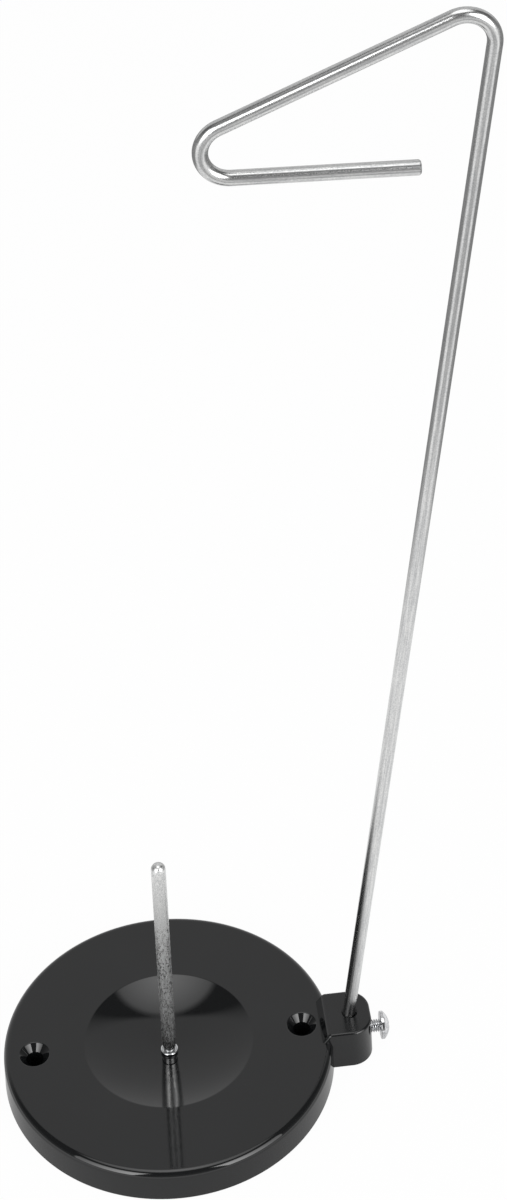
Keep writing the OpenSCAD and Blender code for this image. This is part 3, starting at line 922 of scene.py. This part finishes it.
class THREADSTAND_OT_stage(bpy.types.Operator):
    """Sets the camera, the white floor and the soft studio light"""
    bl_idname = "thread_stand.stage"
    bl_label = "Set stage"

    def execute(self, context):
        t = settings().stage
        context.scene.view_settings.view_transform = "Standard"
        self.camera(context, t)
        self.floor()
        self.lamps()
        self.world(context)
        return {"FINISHED"}

    def camera(self, context, t):
        """Puts the camera at the photograph's viewpoint"""
        bpy.ops.object.camera_add()
        camera = context.object
        camera.name = "camera"
        forward = Vector(t.camera_forward).normalized()
        right = Vector(t.camera_right)
        right = (right - forward * right.dot(forward)).normalized()
        up = right.cross(forward)
        turn = Matrix((right, up, -forward)).transposed()
        camera.matrix_world = Matrix.Translation(t.camera_place) @ turn.to_4x4()
        camera.data.lens = t.lens
        camera.data.sensor_width = 36
        camera.data.shift_x, camera.data.shift_y = t.shift
        camera.data.clip_start = 0.01
        context.scene.camera = camera

    def floor(self):
        """Lays a white floor that stays white round the object and keeps a soft shadow"""
        bpy.ops.object.select_all(action="DESELECT")
        # It lies a hair under the base's foot
        bpy.ops.mesh.primitive_plane_add(size=12, location=(0, 0, -0.02 * MM))
        floor = bpy.context.object
        floor.name = floor.data.name = "floor"
        material = bpy.data.materials.new("white board")
        material.use_nodes = True
        tree = material.node_tree
        tree.nodes.clear()
        level = self.floor_level(tree)
        rays = add(tree, "ShaderNodeLightPath").outputs
        mirrored = add(tree, "ShaderNodeMath", [
            (0, rays["Is Glossy Ray"]), (1, rays["Is Transmission Ray"])], operation="MAXIMUM")
        matt = add(tree, "ShaderNodeBsdfDiffuse", [("Color", linear("#e6e6e6"))])
        white = add(tree, "ShaderNodeEmission", [("Color", linear("#ffffff")), ("Strength", 1.0)])
        # Glossy and transmission rays see the floor glow at that level, with its painted light and painted
        # shadow
        shown = add(tree, "ShaderNodeEmission", [("Color", linear("#ffffff")), ("Strength", level)])
        # The camera sees mostly white, with a trace of the lit floor and so of the shadow
        whiteness = 0.97
        open_view = add(tree, "ShaderNodeMixShader", enumerate((whiteness, matt, white)))
        direct = add(tree, "ShaderNodeMixShader", enumerate((rays["Is Camera Ray"], matt, open_view)))
        both = add(tree, "ShaderNodeMixShader", enumerate((mirrored, direct, shown)))
        add(tree, "ShaderNodeOutputMaterial", [("Surface", both)])
        floor.data.materials.append(material)

    def floor_level(self, tree):
        """Brightness of the floor as glossy pieces mirror it, by its place in metres, with painted light
        and shadow
        """
        at = add(tree, "ShaderNodeTexCoord").outputs["Object"]
        part = add(tree, "ShaderNodeSeparateXYZ", [(0, at)]).outputs
        # A white board ends about 0.3 m out, and the floor beyond it pales towards the camera
        board_white, board_centre, board_edge = 1.05, (0.02, -0.06, 0), (0.22, 0.36)
        paling, floor_levels = (-0.34, -0.6), (0.34, 0.75)
        beyond = add(tree, "ShaderNodeMapRange", enumerate((part["Y"], *paling, *floor_levels)), **EASED)
        reach = add(tree, "ShaderNodeVectorMath", [(0, at), (1, board_centre)], operation="DISTANCE")
        off_board = add(tree, "ShaderNodeMapRange", enumerate((reach, *board_edge, 0.0, 1.0)), **EASED)
        board = add(tree, "ShaderNodeMix", [("Factor", off_board), ("A", board_white), ("B", beyond)])
        # Painted light: two lanes of it are painted brighter, as the softboxes would light them, at an
        # angle to the left and right of the way to the camera
        painted_lane_white, lane_x, lane_edge = 1.15, 0.08, (math.radians(9), math.radians(27))
        left, right = math.radians(55), math.radians(37)
        beside = add(tree, "ShaderNodeMath", [(0, part["X"]), (1, lane_x)], operation="SUBTRACT")
        nearer = add(tree, "ShaderNodeMath", [(0, part["Y"]), (1, -1.0)], operation="MULTIPLY")
        turn = add(tree, "ShaderNodeMath", [(0, beside), (1, nearer)], operation="ARCTAN2")
        middled = add(tree, "ShaderNodeMath", [(0, turn), (1, (left - right) / 2)])
        aside = add(tree, "ShaderNodeMath", [(0, middled)], operation="ABSOLUTE")
        short = add(tree, "ShaderNodeMath", [(0, aside), (1, (left + right) / 2)], operation="SUBTRACT")
        off_lane = add(tree, "ShaderNodeMath", [(0, short)], operation="ABSOLUTE")
        painted_light_lane = add(tree, "ShaderNodeMapRange", enumerate((off_lane, *lane_edge, 1.0, 0.0)), **EASED)
        lit = add(tree, "ShaderNodeMix", [("Factor", painted_light_lane), ("A", board), ("B", painted_lane_white)])
        # Painted shadow: it is painted darker towards the base and dark under it, where the base's shade
        # falls
        shadow, shadow_edge, under_edge = 0.52, (0.055, 0.09), (0.044, 0.051)
        out = add(tree, "ShaderNodeVectorMath", [(0, at)], operation="LENGTH")
        painted_contact_shadow = add(tree, "ShaderNodeMapRange", enumerate((out, *shadow_edge, shadow, 1.0)), **EASED)
        under = add(tree, "ShaderNodeMapRange", enumerate((out, *under_edge, 0.0, 1.0)), **EASED)
        painted_shade = add(tree, "ShaderNodeMath", [(0, painted_contact_shadow), (1, under)], operation="MULTIPLY")
        return add(tree, "ShaderNodeMath", [(0, lit), (1, painted_shade)], operation="MULTIPLY")

    def lamps(self):
        """Hangs a round lamp overhead and a softbox to each side of the camera"""
        overhead = self.lamp(
            "overhead lamp", "ELLIPSE", at=(0, -0.15, 3.0), aim=(0, -0.15, 0), size=(3.0, 2.44), level=1.0)
        self.hot_centre(overhead)
        for name, side in (("left softbox", -1), ("right softbox", 1)):
            softbox = self.lamp(
                name, "RECTANGLE", at=(side * 1.43, -1.48, 1.06), aim=(0, 0, 0.05), size=(1.5, 2.1),
                level=5.8)
            self.fading(softbox, inner=1 if side < 0 else 0)

    def lamp(self, name, shape, at, aim, size, level):
        """Hangs one area lamp of a given brightness, which the camera doesn't see"""
        bpy.ops.object.light_add(type="AREA", location=at)
        lamp = bpy.context.object
        lamp.name = name
        lamp.rotation_euler = (Vector(aim) - Vector(at)).to_track_quat("-Z", "Y").to_euler()
        lamp.visible_camera = False
        lamp.data.shape = shape
        lamp.data.size, lamp.data.size_y = size
        # An area lamp's brightness is its power over its area and pi
        area = size[0] * size[1] * (math.pi / 4 if shape == "ELLIPSE" else 1)
        lamp.data.energy = level * math.pi * area
        lamp.data.use_nodes = True
        return lamp.data.node_tree

    def hot_centre(self, tree):
        """Makes a round lamp fall off from its middle to its rim"""
        at = add(tree, "ShaderNodeNewGeometry").outputs["Parametric"]
        middle, edge, rim_start = (0.5, 0.5, 0), 0.5, 0.42
        levels, rim_share = (2.75, 0.85), 0.2
        out = add(tree, "ShaderNodeVectorMath", [(0, at), (1, middle)], operation="DISTANCE")
        fall = add(tree, "ShaderNodeMapRange", enumerate((out, 0.0, edge, *levels)))
        rim = add(tree, "ShaderNodeMapRange", enumerate((out, rim_start, edge, 1.0, rim_share)), **EASED)
        level = add(tree, "ShaderNodeMath", [(0, fall), (1, rim)], operation="MULTIPLY")
        feed(tree, tree.nodes["Emission"], [("Strength", level)])

    def fading(self, tree, inner):
        """Makes a softbox fall off outwards from its edge beside the camera, and at its top and bottom"""
        at = add(tree, "ShaderNodeNewGeometry").outputs["Parametric"]
        part = add(tree, "ShaderNodeSeparateXYZ", [(0, at)]).outputs
        outer, levels = 1 - inner, (1.05, 0.35)
        foot, foot_share, top, top_share = 0.2, 0.15, 0.74, 0.1
        across = add(tree, "ShaderNodeMapRange", enumerate((part["X"], inner, outer, *levels)), **EASED)
        low = add(tree, "ShaderNodeMapRange", enumerate((part["Y"], 0.0, foot, foot_share, 1.0)), **EASED)
        high = add(tree, "ShaderNodeMapRange", enumerate((part["Y"], top, 1.0, 1.0, top_share)), **EASED)
        ends = add(tree, "ShaderNodeMath", [(0, low), (1, high)], operation="MULTIPLY")
        level = add(tree, "ShaderNodeMath", [(0, across), (1, ends)], operation="MULTIPLY")
        feed(tree, tree.nodes["Emission"], [("Strength", level)])

    def world(self, context):
        """Puts a pale wall ahead in a dark studio, and shows the camera plain white"""
        world = bpy.data.worlds.new("studio")
        context.scene.world = world
        world.use_nodes = True
        tree = world.node_tree
        tree.nodes.clear()
        way = add(tree, "ShaderNodeTexCoord").outputs["Generated"]
        part = add(tree, "ShaderNodeSeparateXYZ", [(0, way)]).outputs
        # The wall is an oval round the way ahead, 71 degrees up and 58 to each side, leaning to the right
        upward, sideways, lean = 0.345, 0.62, -0.1
        tall = add(tree, "ShaderNodeMath", [(0, part["Z"]), (1, upward)], operation="MULTIPLY")
        skew = add(
            tree, "ShaderNodeMath", enumerate((part["Z"], lean, part["X"])), operation="MULTIPLY_ADD")
        wide = add(tree, "ShaderNodeMath", [(0, skew), (1, sideways)], operation="MULTIPLY")
        oval = add(tree, "ShaderNodeCombineXYZ", [(0, tall), (1, wide)])
        rim = add(tree, "ShaderNodeVectorMath", [(0, oval)], operation="LENGTH")
        inside = add(tree, "ShaderNodeMath", [(0, part["Y"]), (1, rim)], operation="SUBTRACT")
        # Its edge is soft at the sides and crisp at the top
        edge_heights, softness = (0.6, 0.93), (0.2, 0.03)
        soft = add(tree, "ShaderNodeMapRange", enumerate((part["Z"], *edge_heights, *softness)), **EASED)
        depth = add(tree, "ShaderNodeMath", [(0, inside), (1, soft)], operation="DIVIDE")
        lit = add(tree, "ShaderNodeMapRange", enumerate((depth, -1.0, 1.0, 0.0, 1.0)), **EASED)
        # Wall and studio both grow darker upwards
        wall_heights, wall_levels = (0.05, 0.5), (0.8, 0.7)
        dark_heights, dark_levels = (0.15, 0.5), (0.3, 0.14)
        wall = add(tree, "ShaderNodeMapRange", enumerate((part["Z"], *wall_heights, *wall_levels)), **EASED)
        dark = add(tree, "ShaderNodeMapRange", enumerate((part["Z"], *dark_heights, *dark_levels)), **EASED)
        level = add(tree, "ShaderNodeMix", [("Factor", lit), ("A", dark), ("B", wall)])
        rays = add(tree, "ShaderNodeLightPath").outputs
        studio = add(tree, "ShaderNodeBackground", [("Color", linear("#ffffff")), ("Strength", level)])
        white = add(tree, "ShaderNodeBackground", [("Color", linear("#ffffff")), ("Strength", 1.0)])
        both = add(tree, "ShaderNodeMixShader", enumerate((rays["Is Camera Ray"], studio, white)))
        add(tree, "ShaderNodeOutputWorld", [("Surface", both)])


class ThreadStandSettings(bpy.types.PropertyGroup):
    """All the stand's settings."""
    base: PointerProperty(type=BaseSizes)
    lug: PointerProperty(type=LugSizes)
    guide: PointerProperty(type=GuideSizes)
    pin: PointerProperty(type=PinSizes)
    screw: PointerProperty(type=ScrewSizes)
    finishes: PointerProperty(type=Finishes)
    stage: PointerProperty(type=StageSettings)


OPERATORS = (THREADSTAND_OT_base, THREADSTAND_OT_guide, THREADSTAND_OT_pin, THREADSTAND_OT_ferrule,
             THREADSTAND_OT_screw, THREADSTAND_OT_fasteners, THREADSTAND_OT_stage)


class THREADSTAND_PT_panel(bpy.types.Panel):
    """Lists the stand's pieces"""
    bl_idname = "THREADSTAND_PT_panel"
    bl_label = "Thread stand"
    bl_space_type = "VIEW_3D"
    bl_region_type = "UI"
    bl_category = "Thread stand"

    def draw(self, context):
        for operator in OPERATORS:
            self.layout.operator(operator.bl_idname)


CLASSES = (BaseSizes, LugSizes, GuideSizes, PinSizes, ScrewSizes, Finishes, StageSettings,
           ThreadStandSettings, *OPERATORS, THREADSTAND_PT_panel)


def register():
    """Registers the classes and the scene's settings."""
    for kind in CLASSES:
        bpy.utils.register_class(kind)
    bpy.types.Scene.thread_stand = PointerProperty(type=ThreadStandSettings)


def unregister():
    """Takes the settings and the classes away again."""
    del bpy.types.Scene.thread_stand
    for kind in reversed(CLASSES):
        bpy.utils.unregister_class(kind)


def main():
    """Makes every piece and the stage."""
    register()
    bpy.ops.thread_stand.base()
    bpy.ops.thread_stand.guide()
    bpy.ops.thread_stand.pin()
    bpy.ops.thread_stand.ferrule()
    bpy.ops.thread_stand.screw()
    bpy.ops.thread_stand.fasteners()
    bpy.ops.thread_stand.stage()


if __name__ == "__main__":
    main()
